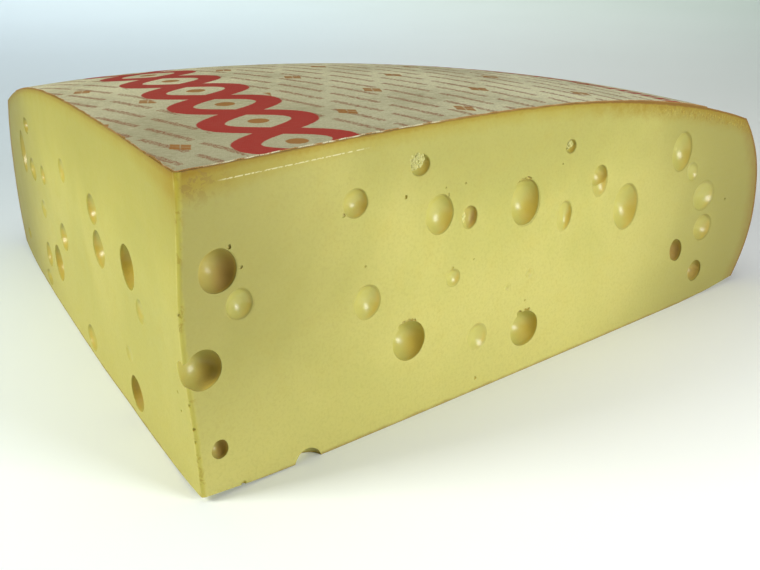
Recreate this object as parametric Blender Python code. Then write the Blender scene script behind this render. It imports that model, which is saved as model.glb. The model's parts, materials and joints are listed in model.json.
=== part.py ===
# Wedge of holey hard cheese, cut from a large wheel, with a thin printed cover on its top rind.
# Metres, +Z up. The origin lies under the middle of the wedge: its near edge points to -Y,
# the curved rind faces +Y, the front cut face is on the +X side and the left one on the -X side.

import math

import bmesh
import bpy
from mathutils import Matrix, Vector

MM = 0.001

# The wheel
RIM_RADIUS = 387 * MM            # at the upper rim and at the foot of the side
SIDE_BULGE = 19.4 * MM           # how far the side stands out halfway up
SIDE_FULLNESS = 2.3              # larger keeps the side upright for longer
CENTRE_HEIGHT = 142.5 * MM
RIM_HEIGHT = 103.8 * MM          # of the upper rim, at the two cuts
DOME_SLOPE = 2.0 * MM            # even part of the drop from centre to rim
DOME_POWER = 3.5                 # the rest of the drop gathers near the rim
RIM_CROWN = 8.4 * MM             # the rim is higher than that midway between the cuts
FOOT_LIFT = 3.4 * MM             # rise of the underside towards the foot
FOOT_WIDTH = 58 * MM
TIP_LIFT = 2.6 * MM              # rise of the underside under the near edge
TIP_WIDTH = 62 * MM

# The cuts
WEDGE_ANGLE = math.radians(76.6)
FRONT_BOW = 1.1 * MM             # the cut faces swell outwards a little midway
LEFT_BOW = 4.2 * MM
NEAR_EDGE_ROUND = 2.5 * MM
BOW_STATIONS = 12
CUT_REACH = 1.12                 # the cuts run on past the rim, as shares of its radius

# The printed cover
COVER_RADIUS = 345 * MM
COVER_THICKNESS = 0.7 * MM
COVER_GAP = 0.3 * MM

# Fineness
WELD = 0.01 * MM
COLUMNS = 26
COLUMN_ANGLE = math.radians(3.4)
DOME_RINGS = [32, 72, 112, 150, 186, 220, 252, 282, 308, 328, 345, 360, 374, 387]
FOOT_RINGS = [374, 358, 340, 320, 200, 80, 52, 34, 16]
SIDE_BANDS = 9

HALF_ANGLE = WEDGE_ANGLE / 2
OUTER_RADIUS = RIM_RADIUS + SIDE_BULGE
TIP_SETBACK = NEAR_EDGE_ROUND * (1 / math.sin(HALF_ANGLE) - 1)
APEX_Y = -(OUTER_RADIUS + TIP_SETBACK) / 2

# Eyes in millimetres: distance from the near edge, height, half width, half height, depth, tilt in degrees
FRONT_EYES = [
    (14.3, 99.7, 9.1, 9.4, 10.0, 0), (23.3, 83.3, 6.7, 7.2, 4.0, 0),
    (84.7, 113.0, 7.2, 6.8, 5.0, 0), (89.7, 66.2, 8.2, 8.6, 4.2, 0),
    (9.2, 22.0, 4.0, 4.3, 6.0, 0), (114.3, 40.0, 10.0, 9.6, 10.5, 0),
    (159.3, 29.0, 7.3, 7.4, 2.6, 0), (193.7, 23.7, 10.3, 9.6, 10.5, 0),
    (142.7, 64.3, 5.0, 4.8, 2.4, 0), (122.3, 123.2, 5.9, 5.2, 5.0, 0),
    (134.0, 97.7, 8.9, 9.8, 7.5, 0), (153.3, 92.2, 5.3, 5.9, 6.0, 0),
    (192.3, 91.5, 10.2, 12.0, 12.5, 0), (221.8, 78.2, 6.4, 8.6, 5.5, -15),
    (225.4, 114.1, 4.0, 3.7, 4.0, 0), (249.7, 91.2, 6.8, 8.7, 6.0, 0),
    (273.3, 72.5, 11.0, 13.2, 9.0, 0), (323.0, 94.2, 9.4, 11.5, 6.5, -8),
    (334.5, 80.5, 5.4, 6.6, 2.2, 30), (348.0, 63.4, 11.0, 9.3, 2.8, 0),
    (349.5, 43.6, 9.6, 8.2, 5.0, 0), (323.8, 35.3, 5.7, 7.0, 8.0, 20),
    (345.0, 17.3, 6.8, 6.4, 7.0, 15),
]
LEFT_EYES = [
    (82.3, 79.7, 12.3, 10.7, 11.0, 15), (66.0, 63.7, 7.0, 6.0, 2.5, 0),
    (88.3, 13.2, 10.3, 8.8, 9.0, 0), (135.0, 72.7, 12.3, 9.7, 7.0, 15),
    (140.7, 92.0, 10.5, 8.0, 5.5, 15), (205.7, 96.7, 8.3, 6.7, 3.0, 0),
    (222.7, 53.7, 11.3, 8.0, 5.5, 10), (249.0, 30.0, 13.0, 11.0, 8.5, 0),
    (174.7, 9.8, 10.3, 7.3, 4.5, 0), (281.7, 25.7, 10.0, 8.0, 4.5, 10),
    (291.0, 7.6, 9.5, 5.0, 3.0, 0), (359.3, 17.3, 6.0, 4.0, 2.0, 0),
    (280.7, 55.3, 9.0, 5.7, 2.5, 10), (268.3, 79.3, 8.0, 6.0, 3.5, 10),
    (304.0, 75.0, 12.5, 7.6, 5.0, 10), (338.0, 79.0, 12.0, 14.5, 7.0, -25),
    (311.0, 101.0, 12.0, 5.2, 5.0, 15),
]
NEAR_EYE_UP = 59.8 * MM          # the eye that breaks through the near edge
NEAR_EYE_INSET = 4.8 * MM
NEAR_EYE_RADIUS = 9.3 * MM
NEAR_EYE_TURN = math.radians(8)  # towards the front face
NOTCH_ALONG = 53.7 * MM          # the eye cut open by the front bottom edge
NOTCH_UP = -1.4 * MM
NOTCH_RADIUS = 7.2 * MM

PASTE_COLOUR = (0.69, 0.60, 0.24, 1)
COVER_COLOUR = (0.62, 0.54, 0.42, 1)


def clear_scene():
    for old in list(bpy.data.objects):
        bpy.data.objects.remove(old, do_unlink=True)


def new_collection(name):
    collection = bpy.data.collections.new(name)
    bpy.context.scene.collection.children.link(collection)
    return collection


def make_material(name, colour, roughness):
    material = bpy.data.materials.new(name)
    material.use_nodes = True
    shader = material.node_tree.nodes["Principled BSDF"]
    shader.inputs["Base Color"].default_value = colour
    shader.inputs["Roughness"].default_value = roughness
    shader.inputs["Metallic"].default_value = 0.0
    return material


def add_object(name, mesh_builder, collection, material=None):
    mesh = bpy.data.meshes.new(name)
    mesh_builder.to_mesh(mesh)
    mesh_builder.free()
    body = bpy.data.objects.new(name, mesh)
    collection.objects.link(body)
    if material:
        mesh.materials.append(material)
    return body


def add_cutter(name, mesh_builder, collection):
    cutter = add_object(name, mesh_builder, collection)
    cutter.hide_render = True
    cutter.display_type = 'WIRE'
    return cutter


def dome_height(radius):
    x = radius / RIM_RADIUS
    gathered = CENTRE_HEIGHT - RIM_HEIGHT - DOME_SLOPE
    return CENTRE_HEIGHT - DOME_SLOPE * x - gathered * x ** DOME_POWER


def underside_height(radius):
    tip = max(0.0, 1 - radius / TIP_WIDTH)
    foot = max(0.0, (radius - RIM_RADIUS + FOOT_WIDTH) / FOOT_WIDTH)
    return TIP_LIFT * tip ** 2 + FOOT_LIFT * foot ** 2


def crown(point):
    # extra height midway between the cuts, growing outwards
    radius = math.hypot(point.x, point.y)
    turn = math.atan2(point.x, point.y) / HALF_ANGLE
    between = 1 - turn * turn
    return RIM_CROWN * (radius / RIM_RADIUS) ** 2 * between * point.z / RIM_HEIGHT


def wheel_profile():
    # radius and height, from the centre of the dome out to the rim, down the side and back
    profile = [(0.0, CENTRE_HEIGHT)]
    for ring in DOME_RINGS:
        profile.append((ring * MM, dome_height(ring * MM)))
    for band in range(1, SIDE_BANDS):
        level = 1 - band / SIDE_BANDS
        bulge = SIDE_BULGE * (1 - abs(2 * level - 1) ** SIDE_FULLNESS)
        height = FOOT_LIFT + (RIM_HEIGHT - FOOT_LIFT) * level
        profile.append((RIM_RADIUS + bulge, height))
    profile.append((RIM_RADIUS, FOOT_LIFT))
    for ring in FOOT_RINGS:
        profile.append((ring * MM, underside_height(ring * MM)))
    profile.append((0.0, TIP_LIFT))
    return profile


def spin_profile(builder, profile):
    # turns a profile about Z, over a sector a little wider than the wedge
    sweep = COLUMNS * COLUMN_ANGLE
    start = Matrix.Rotation(sweep / 2, 3, 'Z')
    points = [builder.verts.new(start @ Vector((0, radius, height))) for radius, height in profile]
    edges = [builder.edges.new(pair) for pair in zip(points, points[1:])]
    bmesh.ops.spin(builder, geom=points + edges, cent=(0, 0, 0), axis=(0, 0, 1),
                   angle=-sweep, steps=COLUMNS, use_merge=False)
    bmesh.ops.remove_doubles(builder, verts=builder.verts, dist=WELD)


def raise_crown(builder):
    for vert in builder.verts:
        vert.co.z += crown(vert.co) if vert.co.z > FOOT_LIFT else 0.0


def settle(builder):
    # moves the model from the apex frame to its own origin
    bmesh.ops.translate(builder, verts=builder.verts, vec=(0, APEX_Y, 0))


def sector_body():
    builder = bmesh.new()
    spin_profile(builder, wheel_profile())
    open_edges = [edge for edge in builder.edges if edge.is_boundary]
    bmesh.ops.holes_fill(builder, edges=open_edges, sides=0)
    raise_crown(builder)
    bmesh.ops.triangulate(builder, faces=builder.faces, quad_method='FIXED')
    bmesh.ops.recalc_face_normals(builder, faces=builder.faces)
    settle(builder)
    return builder


def cover_sheet():
    builder = bmesh.new()
    rings = [ring * MM for ring in DOME_RINGS if ring * MM <= COVER_RADIUS + WELD]
    spin_profile(builder, [(0.0, CENTRE_HEIGHT)] + [(ring, dome_height(ring)) for ring in rings])
    raise_crown(builder)
    bmesh.ops.triangulate(builder, faces=builder.faces, quad_method='FIXED')
    bmesh.ops.translate(builder, verts=builder.verts, vec=(0, 0, COVER_GAP))
    under = list(builder.faces)
    raised = bmesh.ops.extrude_face_region(builder, geom=under, use_keep_orig=True)
    lifted = [part for part in raised["geom"] if isinstance(part, bmesh.types.BMVert)]
    bmesh.ops.translate(builder, verts=lifted, vec=(0, 0, COVER_THICKNESS))
    bmesh.ops.recalc_face_normals(builder, faces=builder.faces)
    settle(builder)
    return builder


def cut_frame(side):
    # unit vectors of a cut face: away from the near edge, and outwards. side is +1 front, -1 left
    along = Vector((side * math.sin(HALF_ANGLE), math.cos(HALF_ANGLE), 0))
    outward = Vector((side * math.cos(HALF_ANGLE), -math.sin(HALF_ANGLE), 0))
    return along, outward


def cut_point(side, distance):
    along, outward = cut_frame(side)
    share = distance / OUTER_RADIUS
    bow = FRONT_BOW if side > 0 else LEFT_BOW
    return along * distance + outward * (4 * bow * share * (1 - share))


def wedge_outline():
    # plan of the wedge, anticlockwise from the rounded near edge, running on past the rim
    centre = Vector((0, NEAR_EDGE_ROUND / math.sin(HALF_ANGLE), 0))
    tangent = NEAR_EDGE_ROUND / math.tan(HALF_ANGLE)
    reach = OUTER_RADIUS * CUT_REACH
    outline = []
    for step in range(5):
        turn = (step / 4 - 0.5) * (math.pi - WEDGE_ANGLE)
        outline.append(centre + NEAR_EDGE_ROUND * Vector((math.sin(turn), -math.cos(turn), 0)))
    stations = [tangent + (reach - tangent) * (step / BOW_STATIONS) for step in range(1, BOW_STATIONS + 1)]
    outline += [cut_point(1, station) for station in stations]
    corner = cut_point(1, reach).x
    outline += [Vector((corner, reach * CUT_REACH, 0)), Vector((-corner, reach * CUT_REACH, 0))]
    outline += [cut_point(-1, station) for station in reversed(stations)]
    return outline


def wedge_prism():
    builder = bmesh.new()
    floor_level = -30 * MM
    height = 240 * MM
    outline = [builder.verts.new((point.x, point.y, floor_level)) for point in wedge_outline()]
    bottom = builder.faces.new(outline)
    raised = bmesh.ops.extrude_face_region(builder, geom=[bottom], use_keep_orig=True)
    lifted = [part for part in raised["geom"] if isinstance(part, bmesh.types.BMVert)]
    bmesh.ops.translate(builder, verts=lifted, vec=(0, 0, height))
    bmesh.ops.recalc_face_normals(builder, faces=builder.faces)
    settle(builder)
    return builder


def eye_ball(half_width, half_height, depth, tilt, side):
    # an ellipsoid whose opening at the cut is half_width by half_height, with its pole facing inwards
    mean = (half_width + half_height) / 2
    radius = (mean * mean + depth * depth) / (2 * depth)
    segments, rings = (18, 10) if mean > 8.5 * MM else (14, 8)
    builder = bmesh.new()
    bmesh.ops.create_uvsphere(builder, u_segments=segments, v_segments=rings, radius=radius)
    bmesh.ops.scale(builder, verts=builder.verts, vec=(half_width / mean, half_height / mean, 1))
    bmesh.ops.rotate(builder, verts=builder.verts, matrix=Matrix.Rotation(tilt, 3, 'Z'))
    along, outward = cut_frame(side)
    axes = Matrix((along, Vector((0, 0, 1)), outward)).transposed()
    bmesh.ops.transform(builder, verts=builder.verts, matrix=axes.to_4x4())
    bmesh.ops.recalc_face_normals(builder, faces=builder.faces)
    return builder, radius - depth


def add_eyes(side, eyes, label, collection):
    outward = cut_frame(side)[1]
    for index, (distance, up, half_width, half_height, depth, tilt) in enumerate(eyes, 1):
        builder, stand_out = eye_ball(half_width * MM, half_height * MM, depth * MM,
                                      math.radians(tilt), side)
        centre = cut_point(side, distance * MM) + outward * stand_out
        centre.z = up * MM
        bmesh.ops.translate(builder, verts=builder.verts, vec=centre)
        settle(builder)
        add_cutter(f"{label}_eye_{index:02d}", builder, collection)


def add_ball(name, centre, radius, collection):
    builder = bmesh.new()
    bmesh.ops.create_uvsphere(builder, u_segments=18, v_segments=10, radius=radius)
    bmesh.ops.translate(builder, verts=builder.verts, vec=centre)
    settle(builder)
    add_cutter(name, builder, collection)


def add_edge_eyes(collection):
    near = Matrix.Rotation(-NEAR_EYE_TURN, 3, 'Z') @ Vector((0, NEAR_EYE_INSET, 0))
    near.z = NEAR_EYE_UP
    add_ball("near_edge_eye", near, NEAR_EYE_RADIUS, collection)
    notch = cut_point(1, NOTCH_ALONG)
    notch.z = NOTCH_UP
    add_ball("bottom_edge_eye", notch, NOTCH_RADIUS, collection)


def add_boolean(body, name, operation):
    modifier = body.modifiers.new(name, 'BOOLEAN')
    modifier.operation = operation
    modifier.solver = 'EXACT'
    return modifier


def build():
    clear_scene()
    parts = new_collection("emmental_wedge")
    shape_cutters = new_collection("shape_cutters")
    eye_cutters = new_collection("eye_cutters")

    wedge = add_cutter("wedge_outline", wedge_prism(), shape_cutters)
    add_eyes(1, FRONT_EYES, "front", eye_cutters)
    add_eyes(-1, LEFT_EYES, "left", eye_cutters)
    add_edge_eyes(eye_cutters)

    cheese = add_object("cheese", sector_body(), parts, make_material("cheese_paste", PASTE_COLOUR, 0.42))
    add_boolean(cheese, "cut_wedge", 'INTERSECT').object = wedge
    eyes = add_boolean(cheese, "cut_eyes", 'DIFFERENCE')
    eyes.operand_type = 'COLLECTION'
    eyes.collection = eye_cutters

    cover = add_object("printed_cover", cover_sheet(), parts, make_material("cover_sheet", COVER_COLOUR, 0.8))
    add_boolean(cover, "cut_wedge", 'INTERSECT').object = wedge


build()
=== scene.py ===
import json
import math
import random

import bmesh
import bpy
from mathutils import Matrix, Vector, noise

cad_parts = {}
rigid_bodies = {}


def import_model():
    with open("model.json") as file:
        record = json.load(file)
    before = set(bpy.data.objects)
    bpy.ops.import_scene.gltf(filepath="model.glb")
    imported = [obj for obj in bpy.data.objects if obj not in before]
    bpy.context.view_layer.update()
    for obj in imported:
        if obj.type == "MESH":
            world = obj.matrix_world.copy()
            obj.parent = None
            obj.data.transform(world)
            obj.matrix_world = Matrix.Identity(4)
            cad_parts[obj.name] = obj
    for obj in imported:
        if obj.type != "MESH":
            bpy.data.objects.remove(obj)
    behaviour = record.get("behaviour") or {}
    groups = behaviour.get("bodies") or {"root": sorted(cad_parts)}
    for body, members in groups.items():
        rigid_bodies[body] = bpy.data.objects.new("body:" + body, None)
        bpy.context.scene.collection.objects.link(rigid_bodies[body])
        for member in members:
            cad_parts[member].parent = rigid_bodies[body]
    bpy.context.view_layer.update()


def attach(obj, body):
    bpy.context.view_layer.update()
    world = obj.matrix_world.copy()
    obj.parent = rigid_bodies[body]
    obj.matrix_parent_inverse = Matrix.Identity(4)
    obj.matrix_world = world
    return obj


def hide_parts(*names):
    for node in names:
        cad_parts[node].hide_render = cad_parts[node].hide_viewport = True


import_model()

mm = 0.001
noise.seed_set(7)   # the eyes get the same unevenness in every run
scene = bpy.context.scene
scene.view_settings.view_transform = "Standard"   # keeps the pale yellows as clear as the photo's

# the wheel and its two cuts, as the solids have them
wheel = {
    "rimRadius": 387 * mm,
    "sideBulge": 19.4 * mm,
    "sideFullness": 2.3,
    "centreHeight": 142.5 * mm,
    "rimHeight": 103.8 * mm,
    "domeSlope": 2.0 * mm,
    "domePower": 3.5,
    "rimCrown": 8.4 * mm,
    "footLift": 3.4 * mm,
    "footWidth": 58 * mm,
    "tipLift": 2.6 * mm,
    "tipWidth": 62 * mm,
    "wedgeAngle": math.radians(76.6),
    "frontBow": 1.1 * mm,
    "leftBow": 4.2 * mm,
    "nearEdgeRound": 2.5 * mm,
}
halfAngle = wheel["wedgeAngle"] / 2
outerRadius = wheel["rimRadius"] + wheel["sideBulge"]
tipSetback = wheel["nearEdgeRound"] * (1 / math.sin(halfAngle) - 1)
apexY = -(outerRadius + tipSetback) / 2
gathered = wheel["centreHeight"] - wheel["rimHeight"] - wheel["domeSlope"]

cameraSettings = {
    "place": (0.15333, -0.58177, 0.24888),
    "heading": math.radians(11.316),   # to the left of +Y
    "pitch": math.radians(20.53),
    "roll": math.radians(0.968),
    "lens": 52.367,
    "shift": (-0.00463, -0.00823),
}

lightSettings = {
    # name: where it stands, where it looks, size, watts, colour, spread in degrees
    "lampRight": ((0.92, -0.49, 0.33), (0.0, 0.0, 0.06), (0.40, 0.40), 9.0, (0.98, 1.0, 1.0), 180),
    "lampLeft": ((-0.87, -0.59, 0.64), (0.0, 0.0, 0.06), (0.42, 0.42), 11.6, (1.0, 1.0, 0.89), 180),
    "softTop": ((0.0, 0.0, 1.66), (0.0, 0.0, 0.0), (1.6, 1.6), 9.6, (1.0, 1.0, 0.98), 180),
    "farWash": ((-0.45, 1.75, 1.5), (-0.45, 1.85, 0.0), (2.6, 1.2), 16.0, (0.94, 1.0, 1.0), 100),
}
world = {"colour": (0.95, 1.0, 0.97), "strength": 0.02}


def report(stage):
    print("emmental wedge:", stage)


def makeCamera():
    settings = cameraSettings
    eyepiece = bpy.data.cameras.new("camera")
    eyepiece.lens = settings["lens"]
    eyepiece.sensor_width = 36
    eyepiece.shift_x, eyepiece.shift_y = settings["shift"]
    eyepiece.clip_start = 0.01
    holder = bpy.data.objects.new("camera", eyepiece)
    scene.collection.objects.link(holder)
    turn = Matrix.Rotation(settings["heading"], 4, "Z")
    turn @= Matrix.Rotation(math.pi / 2 - settings["pitch"], 4, "X")
    turn @= Matrix.Rotation(-settings["roll"], 4, "Z")
    holder.matrix_world = Matrix.Translation(settings["place"]) @ turn
    scene.camera = holder


def makeLights():
    for name, (place, target, size, watts, colour, spread) in lightSettings.items():
        lamp = bpy.data.lights.new(name, "AREA")
        lamp.shape = "RECTANGLE"
        lamp.size, lamp.size_y = size
        lamp.energy = watts
        lamp.color = colour
        lamp.spread = math.radians(spread)
        holder = bpy.data.objects.new(name, lamp)
        holder.location = place
        holder.rotation_euler = (Vector(target) - Vector(place)).to_track_quat("-Z", "Y").to_euler()
        scene.collection.objects.link(holder)
    sky = bpy.data.worlds.new("softRoom")
    sky.use_nodes = True
    background = sky.node_tree.nodes["Background"]
    background.inputs["Color"].default_value = (*world["colour"], 1)
    background.inputs["Strength"].default_value = world["strength"]
    scene.world = sky


class Strand:
    # a socket that masks can be written with, as sums
    def __init__(self, finish, socket):
        self.finish = finish
        self.socket = socket

    def __pow__(self, other):
        return self.finish.maths("POWER", self, other)

    def __abs__(self):
        return self.finish.maths("ABSOLUTE", self)


def addOperator(name, operation):
    # both forms of an operator, such as strand - 1 and 1 - strand
    setattr(Strand, f"__{name}__", lambda self, other: self.finish.maths(operation, self, other))
    setattr(Strand, f"__r{name}__", lambda self, other: self.finish.maths(operation, other, self))


for name, operation in (("add", "ADD"), ("sub", "SUBTRACT"), ("mul", "MULTIPLY"), ("truediv", "DIVIDE")):
    addOperator(name, operation)


class Finish:
    # a material under construction
    def __init__(self, name, constants):
        self.material = bpy.data.materials.new(name)
        self.material.use_nodes = True
        self.tree = self.material.node_tree
        self.shader = self.tree.nodes["Principled BSDF"]
        for socket, value in constants.items():
            self.shader.inputs[socket].default_value = value

    def add(self, kind, settings=None, sockets=None, output=0):
        node = self.tree.nodes.new(kind)
        for key, value in (settings or {}).items():
            setattr(node, key, value)
        for key, value in (sockets or {}).items():
            if isinstance(value, Strand):
                self.tree.links.new(value.socket, node.inputs[key])
            else:
                node.inputs[key].default_value = value
        return Strand(self, node.outputs[output])

    def maths(self, operation, *values):
        return self.add("ShaderNodeMath", {"operation": operation}, dict(enumerate(values)))

    def wave(self, value, period):
        # 0 to 1 along each period
        return self.maths("FRACT", value / period)

    def lower(self, first, second):
        return self.maths("MINIMUM", first, second)

    def higher(self, first, second):
        return self.maths("MAXIMUM", first, second)

    def place(self):
        return self.add("ShaderNodeTexCoord", output="Object")

    def axes(self, where):
        return [self.add("ShaderNodeSeparateXYZ", {}, {0: where}, axis) for axis in "XYZ"]

    def point(self, x, y):
        return self.add("ShaderNodeCombineXYZ", {}, {0: x, 1: y})

    def attribute(self, name):
        return self.add("ShaderNodeAttribute", {"attribute_name": name}, {}, "Fac")

    def stretched(self, where, scale):
        return self.add("ShaderNodeVectorMath", {"operation": "MULTIPLY"}, {0: where, 1: scale})

    def noise(self, where, size, detail=2.0, roughness=0.5, distortion=0.0):
        sockets = {"Vector": where, "Scale": 1 / size, "Detail": detail, "Roughness": roughness,
                   "Distortion": distortion}
        return self.add("ShaderNodeTexNoise", {}, sockets, "Fac")

    def fade(self, value, start, end, first=0.0, last=1.0):
        # runs smoothly from first to last as the value goes from start to end
        sockets = {"Value": value, "From Min": start, "From Max": end, "To Min": first, "To Max": last}
        return self.add("ShaderNodeMapRange", {"interpolation_type": "SMOOTHSTEP"}, sockets)

    def fall(self, value, start, end):
        return self.fade(value, start, end, 1.0, 0.0)

    def mix(self, amount, first, second, blend="MIX"):
        sockets = {0: amount, 6: self.rgba(first), 7: self.rgba(second)}
        return self.add("ShaderNodeMix", {"data_type": "RGBA", "blend_type": blend}, sockets, 2)

    def lay(self, amount, colour, blend="MIX"):
        # one more layer over the colour so far
        self.body = self.mix(amount, self.body, colour, blend)

    def rgba(self, colour):
        return colour if isinstance(colour, Strand) else (*colour, 1)

    def bump(self, height, distance, strength):
        sockets = {"Height": height, "Distance": distance, "Strength": strength}
        return self.add("ShaderNodeBump", {}, sockets)

    def feed(self, **strands):
        self.tree.links.new(self.body.socket, self.shader.inputs["Base Color"])
        for socket, strand in strands.items():
            name = {"roughness": "Roughness", "normal": "Normal", "coat": "Coat Weight"}[socket]
            self.tree.links.new(strand.socket, self.shader.inputs[name])
        return self.material


def addPiece(name, builder, material):
    mesh = bpy.data.meshes.new(name)
    builder.to_mesh(mesh)
    builder.free()
    piece = bpy.data.objects.new(name, mesh)
    scene.collection.objects.link(piece)
    if material:
        mesh.materials.append(material)
    return piece


def newVerts(result):
    return [part for part in result["geom"] if isinstance(part, bmesh.types.BMVert)]


def turnOut(builder):
    bmesh.ops.recalc_face_normals(builder, faces=builder.faces)


def move(builder, way):
    bmesh.ops.translate(builder, verts=builder.verts, vec=way)


def spinRound(builder, section, steps, closeness):
    # spins a half section about Z and welds it
    points = [builder.verts.new(place) for place in section]
    edges = [builder.edges.new(pair) for pair in zip(points, points[1:])]
    bmesh.ops.spin(builder, geom=points + edges, cent=(0, 0, 0), axis=(0, 0, 1), angle=2 * math.pi,
                   steps=steps, use_merge=True)
    bmesh.ops.remove_doubles(builder, verts=builder.verts, dist=closeness)


def smoothShade(piece, angle):
    piece.data.shade_smooth()
    piece.data.set_sharp_from_angle(angle=math.radians(angle))


stageSettings = {
    "width": 8.0, "front": -2.6, "back": 1.9, "bend": 0.9, "top": 3.2, "bendSteps": 20,
    "near": (0.98, 1.0, 1.0), "nearLeftShaded": (0.79, 0.90, 0.98), "far": (0.50, 0.56, 0.51),
}


def makeStage():
    # a pale paper sweep: level floor, a bend, and an upright back
    settings = stageSettings
    builder = bmesh.new()
    first = builder.verts.new((-settings["width"] / 2, settings["front"], 0))
    second = builder.verts.new((-settings["width"] / 2, settings["back"], 0))
    builder.edges.new((first, second))
    centre = (0, settings["back"], settings["bend"])
    bmesh.ops.spin(builder, geom=[second], cent=centre, axis=(1, 0, 0), angle=math.pi / 2,
                   steps=settings["bendSteps"], use_merge=False)
    builder.verts.ensure_lookup_table()
    highest = max(builder.verts, key=lambda vert: vert.co.z)
    raised = bmesh.ops.extrude_vert_indiv(builder, verts=[highest])
    bmesh.ops.translate(builder, verts=raised["verts"], vec=(0, 0, settings["top"]))
    wide = bmesh.ops.extrude_edge_only(builder, edges=builder.edges[:])
    bmesh.ops.translate(builder, verts=newVerts(wide), vec=(settings["width"], 0, 0))
    bmesh.ops.remove_doubles(builder, verts=builder.verts, dist=0.01 * mm)
    turnOut(builder)
    if min(builder.faces, key=lambda face: face.calc_center_median().z).normal.z < 0:
        bmesh.ops.reverse_faces(builder, faces=builder.faces)
    finish = Finish("palePaper", {"Roughness": 0.75, "Specular IOR Level": 0.25})
    where = finish.place()
    x, y, z = finish.axes(where)
    # the paper is painted darker and greener towards the back, and dimmer and bluer on the near left:
    # painted shade
    away = finish.fade(y + z * 0.6 + x * 0.85, 0.1, 2.1)
    grain = finish.noise(where, 0.35, 3.0) * 0.12 - 0.06
    floor = finish.mix(finish.fade(x, -0.5, 0.25), settings["nearLeftShaded"], settings["near"])
    finish.body = finish.mix(away + grain, floor, settings["far"])
    paper = addPiece("sweep", builder, finish.feed())
    smoothShade(paper, 40)


def domeHeight(radius):
    share = radius / wheel["rimRadius"]
    return wheel["centreHeight"] - wheel["domeSlope"] * share - gathered * share ** wheel["domePower"]


def undersideHeight(radius):
    tip = max(0.0, 1 - radius / wheel["tipWidth"])
    foot = max(0.0, (radius - wheel["rimRadius"] + wheel["footWidth"]) / wheel["footWidth"])
    return wheel["tipLift"] * tip ** 2 + wheel["footLift"] * foot ** 2


def crown(point):
    # extra height midway between the cuts, growing outwards; the apex is the centre here
    radius = math.hypot(point.x, point.y)
    turn = math.atan2(point.x, point.y) / halfAngle
    between = max(-1.0, 1 - turn * turn)
    share = (radius / wheel["rimRadius"]) ** 2 * between
    return wheel["rimCrown"] * share * point.z / wheel["rimHeight"]


bodySettings = {
    "ringStep": 5.5 * mm, "sideBands": 34, "columns": 540, "halfAt": -12 * mm,
    "footRings": 14, "knifeStep": 2.6 * mm, "knifeRise": 2.6 * mm, "knifeReach": 1.12,
    "knifeFoot": -6 * mm, "knifeTall": 160 * mm, "knifeEnds": (-30 * mm, 190 * mm),
    "waveSize": 60 * mm, "waveDepth": 0.3 * mm, "rippleSize": 15 * mm, "rippleDepth": 0.07 * mm,
    "rindWave": 0.55 * mm, "rindWaveSize": 38 * mm, "rindFrom": 330 * mm, "rindRamp": 60 * mm,
    "edgeRound": 1.6 * mm,
}


def wheelProfile():
    # radius and height from the centre of the dome out to the rim, down the side and back in
    settings = bodySettings
    rings = round(wheel["rimRadius"] / settings["ringStep"])
    profile = [(0.0, wheel["centreHeight"])]
    for ring in range(1, rings + 1):
        radius = wheel["rimRadius"] * ring / rings
        profile.append((radius, domeHeight(radius)))
    for band in range(1, settings["sideBands"]):
        level = 1 - band / settings["sideBands"]
        bulge = wheel["sideBulge"] * (1 - abs(2 * level - 1) ** wheel["sideFullness"])
        height = wheel["footLift"] + (wheel["rimHeight"] - wheel["footLift"]) * level
        profile.append((wheel["rimRadius"] + bulge, height))
    for ring in range(settings["footRings"]):
        radius = wheel["rimRadius"] * (1 - ring / settings["footRings"])
        profile.append((radius, undersideHeight(radius)))
    profile.append((0.0, wheel["tipLift"]))
    return profile


def spinProfile(builder, profile):
    section = [(0, radius, height) for radius, height in profile]
    spinRound(builder, section, bodySettings["columns"], 0.01 * mm)
    # only the half with the wedge in it is needed
    whole = builder.verts[:] + builder.edges[:] + builder.faces[:]
    bmesh.ops.bisect_plane(builder, geom=whole, plane_co=(0, bodySettings["halfAt"], 0),
                           plane_no=(0, 1, 0), clear_inner=True)


def raiseCrown(builder):
    for vert in builder.verts:
        if vert.co.z > wheel["footLift"]:
            vert.co.z += crown(vert.co)


def roughenRind(builder):
    # slow dents of the side, none on the flat underside and few under the cover
    settings = bodySettings
    builder.normal_update()
    for vert in builder.verts:
        radius = math.hypot(vert.co.x, vert.co.y)
        if vert.co.z < wheel["footLift"] + 1 * mm or radius < 40 * mm:
            continue
        outer = min(1.0, max(0.0, (radius - settings["rindFrom"]) / settings["rindRamp"]))
        dent = noise.fractal(vert.co / settings["rindWaveSize"], 0.9, 2.0, 3)
        vert.co -= vert.normal * settings["rindWave"] * outer * (0.6 + 0.5 * dent)


def settle(builder):
    # from the apex frame to the model's own origin
    move(builder, (0, apexY, 0))


def makeWheelBody():
    builder = bmesh.new()
    spinProfile(builder, wheelProfile())
    openEdges = [edge for edge in builder.edges if edge.is_boundary]
    bmesh.ops.holes_fill(builder, edges=openEdges, sides=0)
    turnOut(builder)
    raiseCrown(builder)
    roughenRind(builder)
    settle(builder)
    return builder


def cutFrame(side):
    # unit vectors away from the near edge and outwards. side is 1 for the front, -1 for the left
    along = Vector((side * math.sin(halfAngle), math.cos(halfAngle), 0))
    outward = Vector((side * math.cos(halfAngle), -math.sin(halfAngle), 0))
    return along, outward


def cutPoint(side, distance):
    along, outward = cutFrame(side)
    share = distance / outerRadius
    bow = wheel["frontBow"] if side > 0 else wheel["leftBow"]
    return along * distance + outward * (4 * bow * share * (1 - share))


edgeBulge = {
    # the left face stands out a little beside the near edge, most at mid height
    "least": 0.9 * mm, "most": 3.6 * mm, "height": 76 * mm, "spread": 43 * mm, "reach": 55 * mm,
}


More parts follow.
